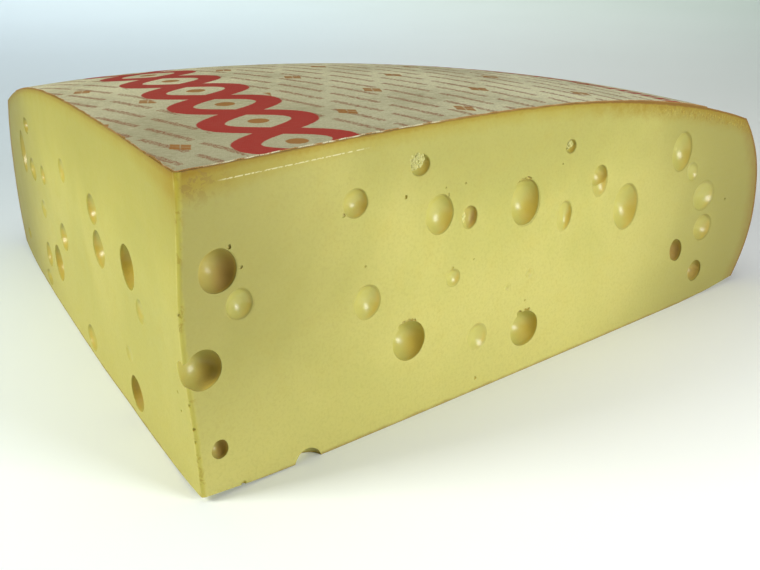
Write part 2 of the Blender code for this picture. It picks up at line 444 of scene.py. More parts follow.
def bulgeBesideEdge(distance, up):
    settings = edgeBulge
    level = math.exp(-((up - settings["height"]) / settings["spread"]) ** 2)
    fall = math.exp(-(max(0.0, distance) / settings["reach"]) ** 2)
    return (settings["least"] + settings["most"] * level) * fall


def nearEdgeAt(up):
    # plan position of the near edge, which stands out with the left face
    return cutFrame(1)[0] * (-bulgeBesideEdge(0, up) / math.sin(wheel["wedgeAngle"]))


def cutWave(point):
    # how far the drag of the knife lifts a cut face at a point
    settings = bodySettings
    slow = noise.noise(point / settings["waveSize"])
    quick = noise.noise(Vector((point.x, point.y, point.z * 1.6)) / settings["rippleSize"])
    return settings["waveDepth"] * slow + settings["rippleDepth"] * quick


def wedgeOutline(step, inset=0.0):
    # plan points with their outward directions, anticlockwise from the rounded near edge
    edgeRound = bodySettings["edgeRound"]
    centre = Vector((0, edgeRound / math.sin(halfAngle), 0))
    tangent = edgeRound / math.tan(halfAngle)
    reach = outerRadius * bodySettings["knifeReach"]
    outline = []
    for turnStep in range(9):
        turn = (turnStep / 8 - 0.5) * (math.pi - wheel["wedgeAngle"])
        outward = Vector((math.sin(turn), -math.cos(turn), 0))
        outline.append((centre + (edgeRound - inset) * outward, outward))
    count = round((reach - tangent) / step)
    front, left = cutFrame(1)[1], cutFrame(-1)[1]
    stations = [tangent + (reach - tangent) * station / count for station in range(1, count + 1)]
    outline += [(cutPoint(1, station) - front * inset, front) for station in stations]
    corner = cutPoint(1, reach).x
    far = reach * bodySettings["knifeReach"]
    outline += [(Vector((side * corner, far, 0)), Vector((0, 1, 0))) for side in (1, -1)]
    outline += [(cutPoint(-1, station) - left * inset, left) for station in reversed(stations)]
    return outline


def leftShift(point):
    # moves the left face and the near edge outwards along the front face's plane
    along, outward = cutFrame(-1)
    edge = min(1.0, max(0.0, (point.dot(outward) + 4.2 * mm) / (1.8 * mm)))
    bulge = bulgeBesideEdge(point.dot(along), point.z) / math.sin(wheel["wedgeAngle"])
    return cutFrame(1)[0] * (-bulge * edge)


ridgeSettings = {
    # the raised line that the knife left along the top of the front face
    "height": 136.2 * mm, "from": 15 * mm, "to": 96 * mm, "fade": 6 * mm,
    "halfWidth": 0.35 * mm, "rise": 0.26 * mm, "breaks": 1.4 * mm,
}


def ridgeRise(point):
    settings = ridgeSettings
    along, outward = cutFrame(1)
    distance = point.dot(along)
    if abs(point.dot(outward)) > 3 * mm or not settings["from"] < distance < settings["to"]:
        return 0.0
    off = (point.z - settings["height"]) / settings["halfWidth"]
    ends = min(distance - settings["from"], settings["to"] - distance) / settings["fade"]
    broken = 0.75 + 0.7 * noise.noise(Vector((distance / settings["breaks"], 0, 0)))
    return settings["rise"] * math.exp(-off * off) * min(1.0, ends) * max(0.0, broken)


def knifeLevels():
    settings = bodySettings
    foot, tall = settings["knifeFoot"], settings["knifeTall"]
    lowest, highest = settings["knifeEnds"]
    count = round(tall / settings["knifeRise"])
    levels = [lowest] + [foot + tall * step / count for step in range(count + 1)] + [highest]
    ridge = ridgeSettings["height"]
    levels += [ridge + offset * mm for offset in (-1.0, -0.65, -0.3, 0.0, 0.3, 0.65, 1.0)]
    return sorted(levels)


def makeKnife():
    # an upright prism on the wedge's outline, its walls gridded and slightly wavy
    builder = bmesh.new()
    outline = wedgeOutline(bodySettings["knifeStep"])
    levels = knifeLevels()
    ring = [builder.verts.new((point.x, point.y, levels[0])) for point, outward in outline]
    edges = [builder.edges.new(pair) for pair in zip(ring, ring[1:] + ring[:1])]
    outwards = {vert: outward for vert, (point, outward) in zip(ring, outline)}
    bottomEdges = edges
    for below, above in zip(levels, levels[1:]):
        raised = bmesh.ops.extrude_edge_only(builder, edges=edges)
        edges = [part for part in raised["geom"] if isinstance(part, bmesh.types.BMEdge)]
        for vert in newVerts(raised):
            beside = [edge.other_vert(vert) for edge in vert.link_edges]
            vert.co.z = above
            outwards[vert] = next(outwards[other] for other in beside if other in outwards)
    bmesh.ops.holes_fill(builder, edges=bottomEdges, sides=0)
    bmesh.ops.holes_fill(builder, edges=edges, sides=0)
    turnOut(builder)
    for vert, outward in outwards.items():
        shift = leftShift(vert.co)
        vert.co += outward * (cutWave(vert.co) + ridgeRise(vert.co)) + shift
    settle(builder)
    return builder


# eyes: distance from the near edge, height, half sizes across and up, depth, tilt; all in mm, degrees
frontEyes = [
    (14.3, 99.7, 9.1, 9.4, 10.0, 0), (23.3, 83.3, 6.7, 7.2, 4.0, 0),
    (84.7, 113.0, 7.2, 6.8, 5.0, 0), (89.7, 66.2, 8.2, 8.6, 4.2, 0),
    (9.2, 22.0, 4.0, 4.3, 6.0, 0), (114.3, 40.0, 10.0, 9.6, 10.5, 0),
    (159.3, 29.0, 7.3, 7.4, 2.6, 0), (193.7, 23.7, 10.3, 9.6, 10.5, 0),
    (142.7, 64.3, 5.0, 4.8, 2.4, 0), (122.3, 123.2, 5.9, 5.2, 5.0, 0),
    (134.0, 97.7, 8.9, 9.8, 6.4, 0), (153.3, 92.2, 5.4, 6.0, 4.4, 0),
    (192.3, 91.5, 10.2, 12.0, 9.2, 0), (221.8, 78.2, 6.4, 8.6, 4.0, -8),
    (225.4, 114.1, 4.0, 3.7, 4.0, 0), (249.7, 91.2, 6.8, 8.7, 3.0, 0),
    (273.3, 72.5, 11.0, 13.2, 7.8, 0), (323.0, 94.2, 9.4, 11.5, 6.5, -8),
    (334.5, 80.5, 5.4, 6.6, 2.2, 30), (348.0, 63.4, 11.0, 9.3, 4.0, 0),
    (349.5, 43.6, 9.6, 8.2, 5.0, 0), (323.8, 35.3, 5.7, 7.0, 8.0, 20),
    (345.0, 17.3, 6.8, 6.4, 7.0, 15),
    # a deeper well inside one of them
    (249.9, 93.6, 6.3, 6.5, 5.6, 0),
]
leftEyes = [
    (82.3, 79.7, 11.6, 10.7, 11.0, 0), (66.0, 63.7, 7.0, 6.0, 2.5, 0),
    (88.3, 13.2, 10.3, 8.8, 9.0, 0), (135.0, 72.7, 11.0, 9.7, 7.0, 0),
    (140.7, 92.0, 9.6, 8.2, 5.5, 0), (205.7, 96.7, 7.8, 7.0, 3.0, 0),
    (222.7, 53.7, 10.6, 8.0, 5.5, 0), (249.0, 30.0, 12.2, 11.0, 8.5, 0),
    (174.7, 9.8, 10.3, 7.3, 4.5, 0), (281.7, 25.7, 9.6, 8.0, 4.5, 0),
    (291.0, 7.6, 9.5, 5.0, 3.0, 0), (359.3, 17.3, 6.0, 4.0, 2.0, 0),
    (280.7, 55.3, 8.4, 5.7, 2.5, 0), (268.3, 79.3, 7.6, 6.0, 3.5, 0),
    (304.0, 75.0, 11.4, 7.2, 5.0, 0), (338.0, 79.0, 11.0, 14.0, 7.0, -10),
    (311.0, 101.0, 9.4, 5.2, 5.0, 0),
]
# soft dimples: side, then as above
dimples = [
    (1, (196.3, 53.0, 3.6, 3.0, 0.9, 0)), (1, (180.3, 49.3, 2.3, 2.3, 0.8, 0)),
    (-1, (95.0, 31.7, 6.5, 4.8, 1.2, 0)),
]
# pits and nicks: side, distance along, height, radius
pits = [
    (1, 20.1, 108.5, 1.1), (1, 25.0, 98.9, 0.9), (1, 77.7, 109.2, 1.0), (1, 89.1, 83.4, 0.8),
    (1, 118.1, 49.4, 1.0), (1, 142.3, 69.5, 0.9), (1, 139.6, 106.2, 1.0), (1, 113.2, 110.3, 1.1),
    (1, 150.5, 109.5, 0.7), (1, 137.7, 109.7, 0.6), (1, 156.5, 70.6, 0.6), (1, 193.8, 39.3, 0.6),
    (1, 158.4, 6.7, 1.0), (1, 219.1, 106.2, 0.6), (1, 371.4, 56.6, 0.8), (1, 19.5, 1.9, 1.4),
    (-1, 0.1, 85.6, 1.2), (-1, 0.4, 45.8, 1.0), (-1, 0.1, 34.8, 1.3), (-1, 0.2, 28.6, 1.1),
    (-1, 0.2, 22.4, 1.2), (-1, 14.0, 46.5, 0.8), (-1, 13.0, 38.0, 0.6),
]
eyeSettings = {
    "lip": 0.55 * mm, "deepLip": 0.3 * mm, "ballSteps": 13, "lipSteps": 4, "segments": 44,
    "standOut": 1.6 * mm, "unevenness": 0.045, "dimpleLip": 3.0 * mm,
    "nickAt": 0.98, "nickTurn": 96, "nickStep": 12, "nickWander": 8, "nickSize": 1.8,
}
softLips = {13: 0.9 * mm}   # front eyes that melt into the face
leaning = {11: 0.35, 13: 0.4}   # front eyes that only deepen towards the rind, and by how much
jaggedTops = {7: 4, 12: 5, 5: 4}   # front eyes with torn upper rims, and the bites in each


def eyeProfile(radius, depth, lip):
    # half section of a round hollow with a rounded lip: distance from the axis, and outward height
    centre = radius - depth
    lipOut = math.sqrt((radius + lip) ** 2 - (lip + centre) ** 2)
    span = math.atan2(lipOut, lip + centre)
    section = []
    for step in range(eyeSettings["ballSteps"] + 1):
        angle = span * step / eyeSettings["ballSteps"]
        section.append((radius * math.sin(angle), centre - radius * math.cos(angle)))
    for step in range(1, eyeSettings["lipSteps"] + 1):
        angle = span * (1 - 0.88 * step / eyeSettings["lipSteps"])
        section.append((lipOut - lip * math.sin(angle), -lip + lip * math.cos(angle)))
    rim = section[-1][0]
    section.append((rim + 0.35 * mm, 0.06 * mm))
    section.append((rim + 0.5 * mm, eyeSettings["standOut"]))
    section.append((0.0, eyeSettings["standOut"]))
    section[0] = (0.0, -depth)
    return section


def wavyPoint(side, distance, up):
    point = cutPoint(side, distance)
    point.z = up
    bulge = bulgeBesideEdge(distance, up) if side < 0 else 0.0
    return point + cutFrame(side)[1] * (cutWave(point) + bulge)


def placeOnCut(builder, side, distance, up):
    # turns a shape whose Z points out of the cut and puts it there
    reach = 5 * mm
    along = wavyPoint(side, distance + reach, up) - wavyPoint(side, distance - reach, up)
    rise = wavyPoint(side, distance, up + reach) - wavyPoint(side, distance, up - reach)
    outward = along.cross(rise).normalized() * side
    along.normalize()
    axes = Matrix((along, outward.cross(along) * side, outward)).transposed()
    bmesh.ops.transform(builder, verts=builder.verts, matrix=axes.to_4x4())
    move(builder, wavyPoint(side, distance, up))


def makeEye(side, eye, lip, seed, lean=0.0):
    distance, up, halfWidth, halfHeight, depth = [value * mm for value in eye[:5]]
    settings = eyeSettings
    mean = (halfWidth + halfHeight) / 2 - lip * 0.35
    radius = (mean * mean + depth * depth) / (2 * depth)
    builder = bmesh.new()
    section = [(out, 0, height) for out, height in eyeProfile(radius, depth, lip)]
    spinRound(builder, section, settings["segments"], 0.005 * mm)
    whole = (halfWidth + halfHeight) / 2
    bmesh.ops.scale(builder, verts=builder.verts, vec=(halfWidth / whole, halfHeight / whole, 1))
    bmesh.ops.rotate(builder, verts=builder.verts, matrix=Matrix.Rotation(math.radians(eye[5]), 3, "Z"))
    for vert in builder.verts:
        sunk = min(0.0, vert.co.z)
        nearSide = min(1.0, max(0.0, 0.6 - 0.75 * vert.co.x / halfWidth))
        vert.co.x -= lean * 0.45 * halfWidth * sunk / depth
        vert.co.z -= sunk * lean * nearSide
    shift = Vector((seed * 3.7, seed * 1.9, seed * 5.3))
    for vert in builder.verts:
        push = noise.noise_vector(vert.co / (whole * 1.1) + shift)
        sunk = min(1.0, max(0.0, -vert.co.z / (2.5 * mm)))   # the lip itself stays level with the face
        vert.co += Vector((push.x, push.y, push.z * sunk)) * whole * settings["unevenness"]
    placeOnCut(builder, side, distance, up)
    turnOut(builder)
    settle(builder)
    return builder


def makePit(side, distance, up, radius, seed, sink=-0.1):
    # a small torn hole
    builder = bmesh.new()
    bmesh.ops.create_icosphere(builder, subdivisions=2, radius=radius * mm)
    shift = Vector((seed * 2.3, seed * 4.1, seed * 1.3))
    for vert in builder.verts:
        vert.co *= 1 + 0.55 * noise.noise(vert.co / (radius * mm) + shift)
    move(builder, (0, 0, -radius * sink * mm))
    placeOnCut(builder, side, distance * mm, up * mm)
    turnOut(builder)
    settle(builder)
    return builder


nearEye = {"up": 59.8 * mm, "inset": 4.8 * mm, "radius": 9.3 * mm, "turn": math.radians(8)}
notch = {"along": 53.7 * mm, "up": -1.4 * mm, "radius": 7.2 * mm}


def makeBall(centre, radius, seed):
    builder = bmesh.new()
    bmesh.ops.create_uvsphere(builder, u_segments=48, v_segments=30, radius=radius)
    for vert in builder.verts:
        vert.co *= 1 + 0.05 * noise.noise(vert.co / radius + Vector((seed, 0, 0)))
    move(builder, centre)
    settle(builder)
    return builder


def makeCutters():
    # every hollow that opens in the cuts, in one collection
    box = bpy.data.collections.new("hollows")
    settings = eyeSettings

    def keep(name, builder):
        cutter = addPiece(name, builder, None)
        scene.collection.objects.unlink(cutter)
        box.objects.link(cutter)

    for side, eyes, label in ((1, frontEyes, "front"), (-1, leftEyes, "left")):
        for index, eye in enumerate(eyes):
            lip = settings["deepLip"] if eye[4] > 5.9 else settings["lip"]
            lip = softLips.get(index, lip) if side > 0 else lip
            lean = leaning.get(index, 0.0) if side > 0 else 0.0
            keep(f"{label}Eye{index}", makeEye(side, eye, lip, index + 1 + 40 * (side < 0), lean))
    for index, (side, eye) in enumerate(dimples):
        seed = 71 + (index if side > 0 else 0)
        keep(f"dimple{index}", makeEye(side, eye, settings["dimpleLip"], seed))
    for index, (side, distance, up, radius) in enumerate(pits):
        keep(f"pit{index}", makePit(side, distance, up, radius, index))
    for index, nicks in jaggedTops.items():
        distance, up, halfWidth, halfHeight = frontEyes[index][:4]
        for nick in range(nicks):
            turn = settings["nickTurn"] + (nick - (nicks - 1) / 2) * settings["nickStep"]
            turn += settings["nickWander"] * noise.noise(Vector((index, nick, 0.5)))
            across = distance + settings["nickAt"] * halfWidth * math.cos(math.radians(turn))
            rise = up + settings["nickAt"] * halfHeight * math.sin(math.radians(turn))
            size = settings["nickSize"] + noise.noise(Vector((index + 0.3, nick + 0.7, 2.5)))
            keep(f"nick{index}_{nick}", makePit(1, across, rise, size, index * 9 + nick))
    near = Matrix.Rotation(-nearEye["turn"], 3, "Z") @ Vector((0, nearEye["inset"], 0))
    near.z = nearEye["up"]
    keep("nearEdgeEye", makeBall(near, nearEye["radius"], 3.1))
    foot = cutPoint(1, notch["along"])
    foot.z = notch["up"]
    keep("bottomEdgeEye", makeBall(foot, notch["radius"], 5.7))
    return box


def cut(piece, operation, cutter):
    modifier = piece.modifiers.new("cut", "BOOLEAN")
    modifier.operation = operation
    modifier.solver = "EXACT"
    if isinstance(cutter, bpy.types.Collection):
        modifier.operand_type = "COLLECTION"
        modifier.collection = cutter
    else:
        modifier.object = cutter
    bpy.context.view_layer.update()
    done = bpy.data.meshes.new_from_object(piece.evaluated_get(bpy.context.evaluated_depsgraph_get()))
    done.validate()   # drops doubled slivers
    piece.modifiers.clear()
    old = piece.data
    piece.data = done
    bpy.data.meshes.remove(old)


def removePiece(piece):
    mesh = piece.data
    bpy.data.objects.remove(piece)
    bpy.data.meshes.remove(mesh)


def trim(piece, builder):
    # keeps what lies inside the knife
    knife = addPiece("knife", builder, None)
    cut(piece, "INTERSECT", knife)
    removePiece(knife)


# eyes with painted brown shade on their walls: how much, and from which share of the half width on
shadedEyes = {
    1: {0: (1.0, -2), 2: (0.3, -2), 4: (1.0, -2), 11: (1.0, -0.1), 15: (0.3, -2), 20: (0.4, -2),
        21: (1.0, -2), 22: (0.8, -2), 23: (0.35, -2)},
    -1: {2: (0.4, -2)},
}


def paintedEyeShadeAt(side, distance, up):
    eyes = frontEyes if side > 0 else leftEyes
    for index, eye in enumerate(eyes):
        paintedEyeShade, start = shadedEyes[side].get(index, (0.0, 2))
        across, rise, halfWidth, halfHeight = eye[:4]
        share = (distance - across) / halfWidth
        top = (up - rise) / halfHeight
        # the torn upper rims get full painted shade
        if side > 0 and index in jaggedTops and 0.8 < top < 1.3 and abs(share) < 0.6:
            return 1.0
        if share > start and math.hypot(share, top) < 1.25:
            return paintedEyeShade
    # the eye in the near edge gets some painted shade
    return 0.45 if abs(distance) < 16 and abs(up * mm - nearEye["up"]) < 11 * mm else 0.0


shadeNames = ("hollowDepth", "farWallShade", "roofShade", "paintedEyeShade", "crumb")


def storeShades(piece, columns):
    for name, values in zip(shadeNames, columns):
        layer = piece.data.attributes.new(name, "FLOAT", "POINT")
        layer.data.foreach_set("value", values)


def storeDepth(piece):
    # how deep each point lies behind the nearer cut, and how it faces there, for the shade and glow
    # painted in the eyes
    frames = [(side, *cutFrame(side)) for side in (1, -1)]
    rows = []
    for vert in piece.data.vertices:
        point = Vector((vert.co.x, vert.co.y - apexY, vert.co.z))
        inside = []
        for side, along, outward in frames:
            surface = wavyPoint(side, point.dot(along), point.z)
            inside.append((surface.dot(outward) - point.dot(outward), side, along))
        depth, side, along = min(inside)
        away = (Vector((point.x, point.y, 0)) - nearEdgeAt(point.z)).length
        depth -= max(0.0, 1.0 * mm - 0.2 * away)   # the rounded edge isn't a hollow
        if away < 20 * mm:
            along = frames[0][1]   # the eye in the near edge is shaded as one hollow
        shades = (0.0, 0.0, 0.0)
        if depth > 0.1 * mm:
            facing = vert.normal.dot(Vector((0, 0, 0.5)) - along * 0.86)
            paintedEyeShade = paintedEyeShadeAt(side, point.dot(along) / mm, point.z / mm)
            shades = (max(0.0, facing), max(0.0, -vert.normal.z), paintedEyeShade)
        rows.append((max(0.0, depth), *shades, 0.0))
    storeShades(piece, zip(*rows))


pasteSettings = {
    "pale": (0.53, 0.48, 0.145), "olive": (0.45, 0.42, 0.115), "warm": (0.50, 0.40, 0.085),
    "dryAndShade": (0.285, 0.255, 0.072), "hollow": (0.50, 0.46, 0.120), "hollowShaded": (0.42, 0.345, 0.09),
    "wallPaintedGlow": (0.59, 0.43, 0.075), "wallPaintedShade": (0.39, 0.245, 0.072), "rindEdge": (0.20, 0.10, 0.022),
    "rind": (0.34, 0.225, 0.07), "rindDark": (0.23, 0.13, 0.042), "stainAndShade": (0.22, 0.14, 0.035),
    "edgeHighlight": (0.62, 0.57, 0.165), "gold": (0.27, 0.18, 0.022), "curd": (0.74, 0.69, 0.28),
    "ridgeHighlight": (0.70, 0.67, 0.40), "leftTone": (0.47, 0.42, 0.06), "glowTint": (0.95, 0.87, 0.63),
    "goldTint": (0.88, 0.77, 0.56), "agedTint": (0.86, 0.72, 0.70), "cornerTint": (0.95, 0.84, 0.50),
}


def wheelSurfaces(finish, where):
    # x, height, radius, depth below the top and the side, x and distance from the near edge, in mm
    x, y, z = finish.axes(where)
    back = y - apexY
    radius = finish.maths("SQRT", x * x + back * back)
    share = radius / wheel["rimRadius"]
    turn = finish.maths("ARCTAN2", x, back) / halfAngle
    between = 1 - turn * turn
    level = z / (1 + share * share * between * (wheel["rimCrown"] / wheel["rimHeight"]))
    dome = wheel["centreHeight"] - share * wheel["domeSlope"] - (share ** wheel["domePower"]) * gathered
    below = dome - level
    rise = (level - wheel["footLift"]) / (wheel["rimHeight"] - wheel["footLift"])
    bulge = (1 - abs(rise * 2 - 1) ** wheel["sideFullness"]) * wheel["sideBulge"]
    inside = wheel["rimRadius"] + finish.higher(bulge, 0.0) - radius
    # away from the near edge, which stands out of the axis
    along = cutFrame(1)[0]
    high = (z - edgeBulge["height"]) / edgeBulge["spread"]
    stand = finish.maths("EXPONENT", 0 - high * high) * edgeBulge["most"] + edgeBulge["least"]
    stand = stand / math.sin(wheel["wedgeAngle"])
    aside, behind = x + stand * along.x, back + stand * along.y
    edgeAway = finish.maths("SQRT", aside * aside + behind * behind)
    return [value / mm for value in (x, z, radius, below, inside, aside, edgeAway)]


def makePasteFinish():
    colours = pasteSettings
    finish = Finish("cheesePaste", {
        "Specular IOR Level": 0.12, "Subsurface Weight": 0.15, "Subsurface Scale": 0.005,
        "Subsurface Radius": (1.0, 0.6, 0.2), "Coat Roughness": 0.26,
    })
    fade, fall, mix, lay = finish.fade, finish.fall, finish.mix, finish.lay
    where = finish.place()
    x, z, radius, below, inside, aside, edgeAway = wheelSurfaces(finish, where)
    depth, farWallShade, roofShade, paintedEyeShade, crumb = [finish.attribute(name) for name in shadeNames]
    depth = depth / mm   # depths and distances are in millimetres here

    cloud = finish.noise(where, 0.085, 3.0, 0.55, 0.4)
    mottle = finish.noise(where, 0.012, 4.0, 0.6)
    speck = finish.noise(where, 0.0015, 3.0, 0.7)
    finish.body = mix(fade(cloud, 0.35, 0.68), colours["olive"], colours["pale"])
    lay(fade(mottle, 0.45, 0.75) * 0.22, colours["warm"])
    # paler towards the foot: painted light for the brighter lower part of the faces
    lay(fade(z + cloud * 20, 12, 70, 0.7, 0.0), colours["pale"])
    lay(fade(speck, 0.42, 0.7) * 0.19, colours["dryAndShade"])
    front = fade(aside, -0.8, 1.0)
    high = fade(below, 5, 75, 0.75, 0.25)
    lay((1 - front) * high, colours["leftTone"])
    lay(crumb * fade(speck, 0.3, 0.6, 0.5, 0.95), colours["curd"])

    # yellow eyes; their far walls get a painted orange glow or painted brown shade, and their upper rims
    # painted dark shade
    hollow = fade(depth, 0.1, 1.3)
    lay(hollow * 0.85, mix(paintedEyeShade, colours["hollow"], colours["hollowShaded"]))
    wallGlowAndShade = mix(paintedEyeShade, colours["wallPaintedGlow"], colours["wallPaintedShade"])
    turned = fade(farWallShade, 0.35 - paintedEyeShade * 0.15, 0.95 - paintedEyeShade * 0.1)
    lay(hollow * turned * 0.88, wallGlowAndShade)
    rim = hollow * fall(depth, 0.8, 2.6)
    lay(rim * fade(farWallShade, 0.2, 0.6) * 0.6, colours["wallPaintedGlow"])
    # painted shade under the upper rims of the eyes
    lintelShade = hollow * fall(depth, 0.6, 2.0) * fade(roofShade, 0.15, 0.7)
    lay(lintelShade * (0.55 + paintedEyeShade * 0.3), colours["stainAndShade"])

    # drier and darker towards the rind and the near edge: partly a drier paste, partly painted shade
    # where the lamps light the faces less
    shell = finish.lower(below, inside)
    patch = (cloud - 0.5) * 30
    flat = 1 - hollow
    dryAndShade = fade(below + patch, 4, 60, 0.45, 0.0)
    dryAndShade = finish.higher(dryAndShade, fall(inside + patch, 10, 175))
    upperNear = fall(radius + patch, 15, 135) * fade(z, -40, 105)
    dryAndShade = finish.higher(dryAndShade, upperNear * front * 0.8)
    lay(dryAndShade * (1 - hollow * (0.5 + paintedEyeShade * 0.4)), colours["dryAndShade"])

    # a golden stain under the rind
    ragged = finish.noise(where, 0.009, 3.0, 0.6) - 0.5
    tight = finish.noise(where, 0.0028, 3.0, 0.6) - 0.5
    nearTip = fall(radius, 15, 75)
    glow = fall(below + ragged * 5 - nearTip * 5, 0.5, 9.5)
    lay(glow * flat, colours["glowTint"], "MULTIPLY")
    gold = fall(below + tight * 3 - nearTip * 0.5, 0.4, 3.4)
    lay(gold * flat, colours["goldTint"], "MULTIPLY")
    corner = fall(edgeAway + ragged * 10, 3, 32)
    corner = corner * fall(below + tight * 4, 2, 30 - front * 14)
    lay(corner * flat, colours["cornerTint"], "MULTIPLY")
    aged = fall(inside + ragged * 8, 1, 14)
    lay(aged * flat, colours["agedTint"], "MULTIPLY")

    # a brown smudge at the top of the near edge, and browned crumbs far along the top
    smudge = finish.noise(where, 0.004, 4.0, 0.7, 0.5)
    around = fall(radius, 6, 30) * front
    high = fall(below, 3, 20)
    lay(around * high * fade(smudge, 0.5, 0.59) * 0.6, colours["stainAndShade"])
    browned = finish.noise(where, 0.0042, 4.0, 0.7, 0.3)
    frontFar = fade(x, 130, 185) * fall(below + ragged * 6, 1, 13)
    lay(frontFar * fade(browned, 0.3, 0.65, 0.35, 0.95) * flat, colours["gold"])
    bright = fade(x, 165, 190) * fall(abs(below - 5), 1, 4.5)
    lay(bright * fade(speck, 0.56, 0.66) * 0.45, colours["warm"])
    lay(bright * fade(speck, 0.46, 0.38) * 0.5, colours["stainAndShade"])

    # the rind shows as a thin line along the top, the side and the foot
    topLine = below - ragged * 1.2 - tight * 1.2 - fade(x, 140, 190) * 0.9
    rindTop = fall(topLine, 0.2, 0.8) * fade(x, 120, 160, 0.6, 1.0)
    rindSide = fall(inside - ragged * 2, 0.3, 3.2)
    rindFoot = fade(z - ragged * 2, 0.2, 1.8, 0.55, 0.0)
    edge = finish.higher(rindTop, finish.higher(rindSide, rindFoot))
    lay(edge * 0.92, colours["rindEdge"])

    # outside, the bare rind
    bare = fall(shell, 0.7, 1.6) * fade(depth, 0.8, 3)
    blotch = finish.noise(where, 0.03, 4.0, 0.6, 0.5)
    skin = mix(fade(blotch, 0.35, 0.7), colours["rindDark"], colours["rind"])
    lay(bare, skin)

    # painted highlights along the rounded near edge, pale with a yellower band beside it, and on the
    # knife's raised line; the worn edge also gets a gold tone
    wandering = aside + tight * 0.8
    tip = fall(edgeAway, 2.5, 4)
    pale = fall(abs(wandering + 1.3), 0.1, 0.7) * tip
    lay(pale * flat * fade(ragged, -0.12, 0.12, 0.05, 0.5), colours["edgeHighlight"])
    yellow = fall(abs(wandering + ragged * 2 - 0.2), 0.4, 1.6) * tip
    lay(yellow * flat * 0.45, colours["leftTone"])
    worn = fall(edgeAway + ragged * 4, 0.5, 4)
    lay(worn * flat * fade(smudge, 0.54, 0.62) * 0.45, colours["gold"])
    off = abs(z - ridgeSettings["height"] / mm)
    line = fall(off, 0.12, 0.36) * fade(radius, 16, 22) * fall(radius, 84, 96) * front
    broken = fade(finish.noise(where, 0.0014, 1.0), 0.4, 0.52)
    lay(line * broken * 0.65, colours["ridgeHighlight"])

    fine = finish.noise(where, 0.0016, 3.0, 0.6)
    drag = finish.noise(finish.stretched(where, (1.0, 1.0, 9.0)), 0.02, 3.0, 0.5)
    relief = fine * 0.5 + drag * 0.5 + mottle * 0.6
    normal = finish.bump(relief, 0.00035, 0.55)
    gloss = 0.52 - hollow * 0.14 + (mottle - 0.5) * 0.12
    return finish.feed(roughness=gloss, normal=normal, coat=hollow * (0.5 - paintedEyeShade * 0.3))


def makeCheese():
    report("cutting the wedge")
    cheese = addPiece("cheeseWedge", makeWheelBody(), makePasteFinish())
    trim(cheese, makeKnife())
    report("opening the eyes")
    hollows = makeCutters()
    cut(cheese, "DIFFERENCE", hollows)
    for cutter in list(hollows.objects):
        removePiece(cutter)
    bpy.data.collections.remove(hollows)
    storeDepth(cheese)
    smoothShade(cheese, 42)
    weighted = cheese.modifiers.new("evenShade", "WEIGHTED_NORMAL")
    weighted.keep_sharp = True
    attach(cheese, "root")
    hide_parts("cheese")
    report(f"cheese has {len(cheese.data.polygons)} faces")


coverSettings = {
    "radius": 345 * mm, "thickness": 0.55 * mm, "lift": 0.08 * mm, "ringStep": 7 * mm,
    "edgeWander": 0.75 * mm, "edgeSize": 6 * mm, "inset": 0.35 * mm,
    "linen": (0.88, 0.85, 0.58), "linenDark": (0.40, 0.365, 0.22), "linenNearShade": (0.30, 0.28, 0.165),
    "paperEdge": (0.60, 0.55, 0.36), "edgeStain": (0.36, 0.20, 0.07), "brown": (0.28, 0.105, 0.05),
    "ochre": (0.37, 0.16, 0.035), "red": (0.41, 0.031, 0.027),
}


def makeCoverKnife():
    builder = bmesh.new()
    settings = coverSettings
    outline = wedgeOutline(1.6 * mm, settings["inset"])
    ring = []
    for point, outward in outline:
        wander = noise.fractal(point / settings["edgeSize"] + Vector((0, 0, 7.7)), 0.8, 2.0, 3)
        high = point + Vector((0, 0, 0.14))
        placed = point + leftShift(high) + outward * (settings["edgeWander"] * wander + cutWave(high))
        ring.append(builder.verts.new((placed.x, placed.y, 20 * mm)))
    bottom = builder.faces.new(ring)
    raised = bmesh.ops.extrude_face_region(builder, geom=[bottom], use_keep_orig=True)
    bmesh.ops.translate(builder, verts=newVerts(raised), vec=(0, 0, 180 * mm))
    turnOut(builder)
    settle(builder)
    return builder


def makeCoverBlank():
    settings = coverSettings
    rings = round(settings["radius"] / settings["ringStep"])
    radii = [settings["radius"] * ring / rings for ring in range(rings + 1)]
    builder = bmesh.new()
    spinProfile(builder, [(radius, domeHeight(radius)) for radius in radii])
    for vert in builder.verts:
        radius = math.hypot(vert.co.x, vert.co.y)
        if radius > settings["radius"] - 1 * mm:
            inward = 1.6 * mm * (noise.noise(vert.co / (9 * mm)) - 0.5) / radius
            vert.co.x += vert.co.x * inward
            vert.co.y += vert.co.y * inward
    raiseCrown(builder)
    under = list(builder.faces)
    bmesh.ops.recalc_face_normals(builder, faces=under)
    if under[0].normal.z < 0:
        bmesh.ops.reverse_faces(builder, faces=under)
    move(builder, (0, 0, settings["lift"]))
    raised = bmesh.ops.extrude_face_region(builder, geom=under, use_keep_orig=True)
    for vert in newVerts(raised):
        buckle = noise.fractal(vert.co / (24 * mm), 0.9, 2.0, 2)
        vert.co.z += settings["thickness"] + 0.12 * mm * buckle
    turnOut(builder)
    settle(builder)
    return builder


printSettings = {
    "threadPitch": 0.0015, "threadAngle": math.radians(20), "slant": math.radians(-34),
    "linePitch": 0.0135, "lineHalf": 0.0016, "dashPitch": 0.041, "dashShare": 0.83,
    "gemPitch": (0.062, 0.0465), "gemSize": (0.0072, 0.0052),
    "braidOffset": 0.058, "braidSwing": 0.0215, "braidLength": 0.088, "braidHalf": 0.0062,
    "beadSize": 0.0050,
    "ringRadius": 0.312, "ringHalf": 0.0066, "ringPitch": math.radians(1.5),
}


